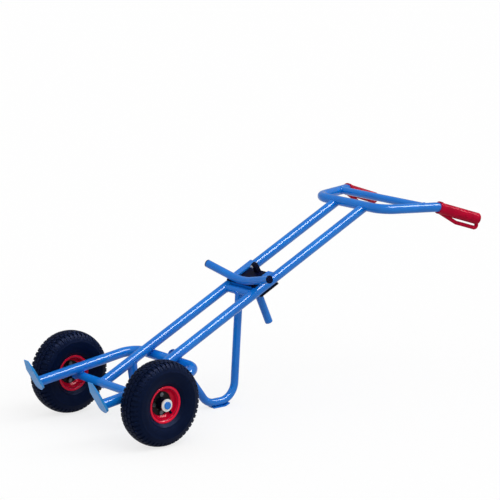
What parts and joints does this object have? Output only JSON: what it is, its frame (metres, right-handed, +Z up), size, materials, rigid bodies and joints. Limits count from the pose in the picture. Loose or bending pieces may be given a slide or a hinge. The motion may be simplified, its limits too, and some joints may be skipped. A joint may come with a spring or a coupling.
{
  "type": "drum trolley",
  "caption": "Welded tube drum trolley with pneumatic wheels, toe plates, support leg, loop handle with guarded grips, and a hook carriage that slides on its rails.",
  "frame": {"origin": "on the floor, under the middle of the whole trolley as it lies on its wheels and support leg", "axes": "+X rearward to the handle, +Y to the right side as seen from the handle, +Z up"},
  "size_m": [1.6348, 0.5684, 0.6601],
  "materials": {
    "blue_paint": "glossy enamel",
    "black_paint": "satin enamel",
    "rim_red": "glossy enamel",
    "zinc_steel": "zinc plated",
    "tyre_black": "matte",
    "tube_rubber": "matte",
    "bush_white": "moulded",
    "grip_red": "moulded",
    "cap_black": "moulded"
  },
  "bodies": {
    "frame": {"axle_tube": "blue_paint", "axle": "zinc_steel", "axle_spacers": "blue_paint", "axle_caps": "blue_paint", "lower_bow": "blue_paint", "foot_bow": "blue_paint", "cross_saddle": "blue_paint", "support_leg": "blue_paint", "skid_plate": "blue_paint", "handle_bow": "blue_paint", "handle_cross_tube": "blue_paint", "right_rail": "blue_paint", "right_toe_plate": "blue_paint", "right_grip": "grip_red", "left_rail": "blue_paint", "left_toe_plate": "blue_paint", "left_grip": "grip_red"},
    "left_wheel": {"left_tyre": "tyre_black", "left_inner_tube": "tube_rubber", "left_outer_rim": "rim_red", "left_inner_rim": "rim_red", "left_hub": "black_paint", "left_hub_bushes": "bush_white", "left_rim_bolts": "zinc_steel", "left_rim_nuts": "zinc_steel", "left_valve_stem": "cap_black", "left_valve_cap": "cap_black"},
    "right_wheel": {"right_tyre": "tyre_black", "right_inner_tube": "tube_rubber", "right_outer_rim": "rim_red", "right_inner_rim": "rim_red", "right_hub": "black_paint", "right_hub_bushes": "bush_white", "right_rim_bolts": "zinc_steel", "right_rim_nuts": "zinc_steel", "right_valve_stem": "cap_black", "right_valve_cap": "cap_black"},
    "hook_carriage": {"drum_bow": "blue_paint", "drum_bow_caps": "cap_black", "carriage_plate": "black_paint", "carriage_block": "cap_black", "carriage_cross_bar": "blue_paint", "carriage_bridge": "black_paint", "hook_claw": "black_paint", "carriage_lever": "blue_paint", "carriage_lever_cap": "blue_paint", "right_guide_strip": "blue_paint", "left_guide_strip": "blue_paint"}
  },
  "joints": [
    {"name": "left_wheel_turn", "type": "hinge", "parent": "frame", "child": "left_wheel", "pos_m": [-0.59571, -0.241, 0.138], "axis": [0, 1, 0], "continuous": true},
    {"name": "right_wheel_turn", "type": "hinge", "parent": "frame", "child": "right_wheel", "pos_m": [-0.59571, 0.241, 0.138], "axis": [0, 1, 0], "continuous": true},
    {"name": "carriage_slide", "type": "slide", "parent": "frame", "child": "hook_carriage", "axis": [0.8973, 0, 0.4415], "range_m": [0, 0.4]}
  ]
}
